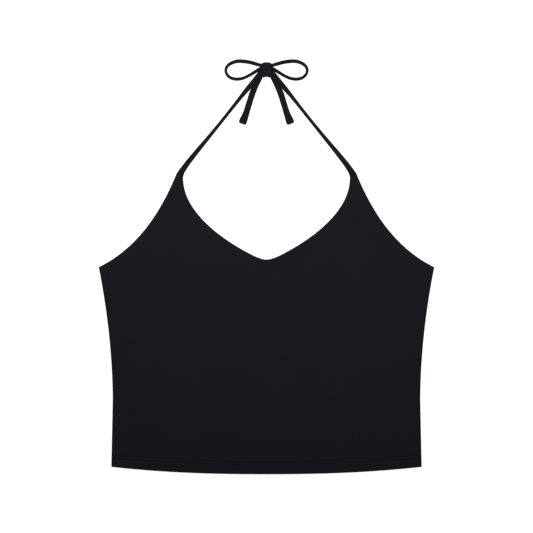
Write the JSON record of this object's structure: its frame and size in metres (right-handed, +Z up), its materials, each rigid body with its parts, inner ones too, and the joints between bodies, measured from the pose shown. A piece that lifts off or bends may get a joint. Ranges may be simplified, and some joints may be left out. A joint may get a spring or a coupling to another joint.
{
  "type": "halter neck top",
  "caption": "Sleeveless cropped halter top laid flat, with a scooped pointed neckline and two thin neck ties tied in a bow.",
  "frame": {"origin": "on the surface the top lies on, under the middle of its overall length and width", "axes": "+X towards the wearer's left side, +Y from the hem towards the neck bow, +Z up from the surface, out of the front"},
  "size_m": [0.3998, 0.4948, 0.0089],
  "materials": {
    "smooth_jersey": "matt stretch jersey, near-black",
    "jersey_band": "narrow sewn band of the same jersey, near-black"
  },
  "bodies": {
    "root": {"front": "smooth_jersey", "back": "smooth_jersey", "tie_left": "jersey_band", "tie_right": "jersey_band", "bow_knot": "jersey_band"}
  },
  "joints": []
}
